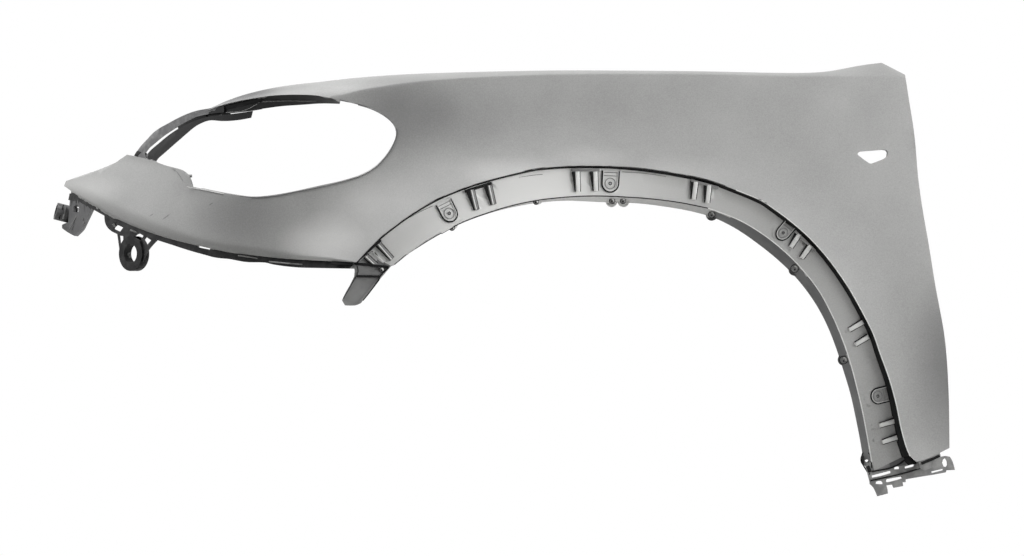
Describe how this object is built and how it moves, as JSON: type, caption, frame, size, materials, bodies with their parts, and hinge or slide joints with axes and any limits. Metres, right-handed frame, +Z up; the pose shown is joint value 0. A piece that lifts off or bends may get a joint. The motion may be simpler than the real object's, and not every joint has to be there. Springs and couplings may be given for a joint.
{
  "type": "car fender",
  "caption": "Left front car fender moulded in primed plastic, with a headlamp opening, a ribbed wheel arch band and bolt-on brackets.",
  "frame": {"origin": "middle of the top face of the bolting pad on the bonnet flange, above the wheel arch", "axes": "+X towards the rear of the car, +Y inboard with the painted side facing -Y, +Z up"},
  "size_m": [1.2589, 0.3363, 0.5788],
  "materials": {
    "primed_plastic": "matte"
  },
  "bodies": {
    "root": {"fender_panel": "primed_plastic"}
  },
  "joints": []
}
